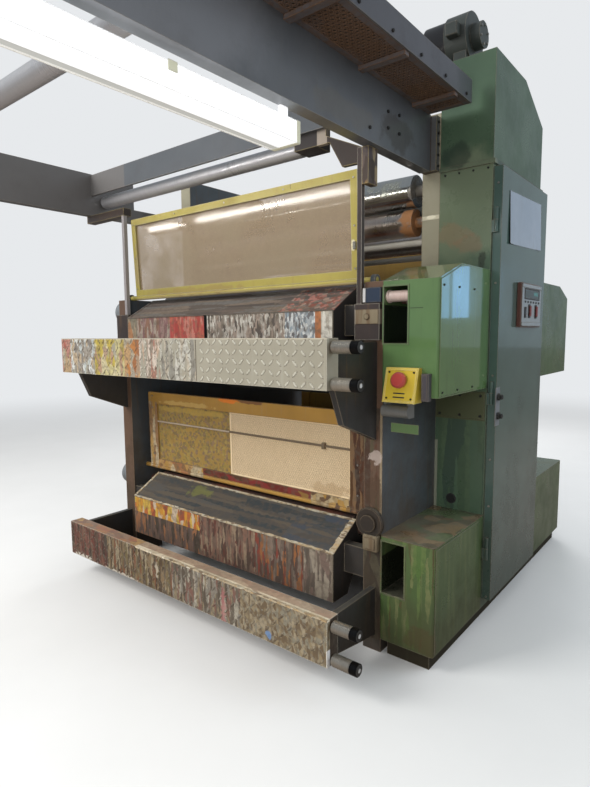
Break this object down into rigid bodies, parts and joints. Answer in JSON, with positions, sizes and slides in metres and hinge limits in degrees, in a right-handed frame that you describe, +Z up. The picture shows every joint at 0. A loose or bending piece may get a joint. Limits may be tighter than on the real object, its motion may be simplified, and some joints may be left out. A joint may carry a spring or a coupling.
{
  "type": "flexographic printing press",
  "caption": "Stack flexographic press with printing decks between side frames, gear case with door, hinged guards, ink trays and overhead web bridge.",
  "frame": {"origin": "middle of the press's box on the floor", "axes": "+X along the cylinders towards the gear case, +Y from the front decks to the rear decks, +Z up"},
  "size_m": [2.7696, 4.212, 3.246],
  "materials": {
    "green": "gloss machine green with drips and worn edges",
    "dark_green": "darker machine green",
    "slate": "slate blue-grey paint",
    "frame_paint": "olive grey paint with ink stains",
    "dark_steel": "near-black paint, oily",
    "chrome": "polished",
    "rubber_roller": "rubber covered",
    "plate_roller": "ink stained sleeve",
    "anilox": "fine engraved",
    "tray": "stained with red and orange ink",
    "bar": "grey beige chequer plate with ink stains",
    "yellow": "safety yellow, worn",
    "panel_sheet": "perforated cream sheet",
    "aluminium": "turned",
    "stop_yellow": "yellow plastic",
    "stop_red": "red plastic",
    "grey_plastic": "light grey",
    "motor_grey": "grey green",
    "rust_brown": "rusty brown walkway",
    "lamp_white": "white enamel"
  },
  "bodies": {
    "frame": {"side_frame_right": "frame_paint", "side_frame_left": "frame_paint", "cross_ties": "frame_paint", "gear_case": "dark_green", "base_plinth": "dark_steel", "gear_case_top": "green", "upper_front_gear_box": "green", "lower_front_gear_box": "green", "rear_gear_boxes": "green", "gear_case_door_hinges": "dark_steel", "motor_cowl": "dark_steel", "motor_body": "motor_grey", "impression_cylinders": "chrome", "plate_cylinders": "plate_roller", "anilox_rollers": "anilox", "rear_fountain_rollers": "rubber_roller", "rear_web_rollers": "chrome", "fountain_motors": "dark_steel", "ink_trays": "tray", "ink_tray_ends": "dark_steel", "step_bars": "bar", "bar_arms": "dark_steel", "rear_bar_knobs": "aluminium", "rear_guard_frames": "yellow", "rear_guard_panels": "panel_sheet", "guard_posts": "slate", "stop_button_box": "stop_yellow", "junction_box": "grey_plastic", "air_cylinder": "aluminium", "bridge_beams": "slate", "bridge_brackets": "slate", "bridge_cross_ties": "slate", "walkway_plate": "rust_brown", "walkway_rail": "slate", "lamp_fitting": "lamp_white"},
    "upper_guard": {"upper_front_guard_frame": "yellow", "upper_front_guard_panel": "panel_sheet"},
    "lower_guard": {"lower_front_guard_frame": "yellow", "lower_front_guard_panel": "panel_sheet"},
    "side_door": {"gear_case_door": "green", "control_panel": "grey_plastic"},
    "upper_fountain": {"upper_front_fountain_roller": "rubber_roller"},
    "lower_fountain": {"lower_front_fountain_roller": "rubber_roller"},
    "top_roller": {"front_top_roller": "chrome"},
    "second_roller": {"front_second_roller": "chrome"},
    "bridge_roller_a": {"bridge_roller_rear": "chrome"},
    "bridge_roller_b": {"bridge_roller_front": "chrome"},
    "knob_upper_high": {"upper_bar_knob_high": "aluminium"},
    "knob_upper_low": {"upper_bar_knob_low": "aluminium"},
    "knob_lower_high": {"lower_bar_knob_high": "aluminium"},
    "knob_lower_low": {"lower_bar_knob_low": "aluminium"},
    "stop_button": {"stop_button": "stop_red"}
  },
  "joints": [
    {"name": "upper_guard_hinge", "type": "hinge", "parent": "frame", "child": "upper_guard", "pos_m": [-0.02675, -0.252, 1.812], "axis": [1, 0, 0], "range_deg": [0, 70]},
    {"name": "lower_guard_hinge", "type": "hinge", "parent": "frame", "child": "lower_guard", "pos_m": [-0.02675, -0.182, 0.64], "axis": [1, 0, 0], "range_deg": [0, 70]},
    {"name": "side_door_hinge", "type": "hinge", "parent": "frame", "child": "side_door", "pos_m": [1.32225, 0.278, 1.25], "axis": [0, 0, -1], "range_deg": [0, 100]},
    {"name": "upper_fountain_spin", "type": "hinge", "parent": "frame", "child": "upper_fountain", "pos_m": [-0.02675, -0.131, 1.725], "axis": [1, 0, 0], "continuous": true},
    {"name": "lower_fountain_spin", "type": "hinge", "parent": "frame", "child": "lower_fountain", "pos_m": [-0.02675, -0.131, 0.528], "axis": [1, 0, 0], "continuous": true},
    {"name": "top_roller_spin", "type": "hinge", "parent": "frame", "child": "top_roller", "pos_m": [-0.02675, 0.354, 2.345], "axis": [1, 0, 0], "continuous": true},
    {"name": "second_roller_spin", "type": "hinge", "parent": "frame", "child": "second_roller", "pos_m": [-0.02675, 0.354, 2.175], "axis": [1, 0, 0], "continuous": true},
    {"name": "bridge_roller_a_spin", "type": "hinge", "parent": "frame", "child": "bridge_roller_a", "pos_m": [-0.02675, -0.221, 2.506], "axis": [1, 0, 0], "continuous": true},
    {"name": "bridge_roller_b_spin", "type": "hinge", "parent": "frame", "child": "bridge_roller_b", "pos_m": [-0.02675, -1.491, 2.506], "axis": [1, 0, 0], "continuous": true},
    {"name": "knob_upper_high_turn", "type": "hinge", "parent": "frame", "child": "knob_upper_high", "pos_m": [1.05325, -0.701, 1.507], "axis": [1, 0, 0], "range_deg": [-180, 180]},
    {"name": "knob_upper_low_turn", "type": "hinge", "parent": "frame", "child": "knob_upper_low", "pos_m": [1.05325, -0.701, 1.355], "axis": [1, 0, 0], "range_deg": [-180, 180]},
    {"name": "knob_lower_high_turn", "type": "hinge", "parent": "frame", "child": "knob_lower_high", "pos_m": [1.05325, -0.701, 0.31], "axis": [1, 0, 0], "range_deg": [-180, 180]},
    {"name": "knob_lower_low_turn", "type": "hinge", "parent": "frame", "child": "knob_lower_low", "pos_m": [1.05325, -0.701, 0.158], "axis": [1, 0, 0], "range_deg": [-180, 180]},
    {"name": "stop_button_press", "type": "slide", "parent": "frame", "child": "stop_button", "axis": [0, 0.9703, -0.2419], "range_m": [0, 0.006], "stiffness_N_per_m": 900, "springref_m": -0.004}
  ]
}
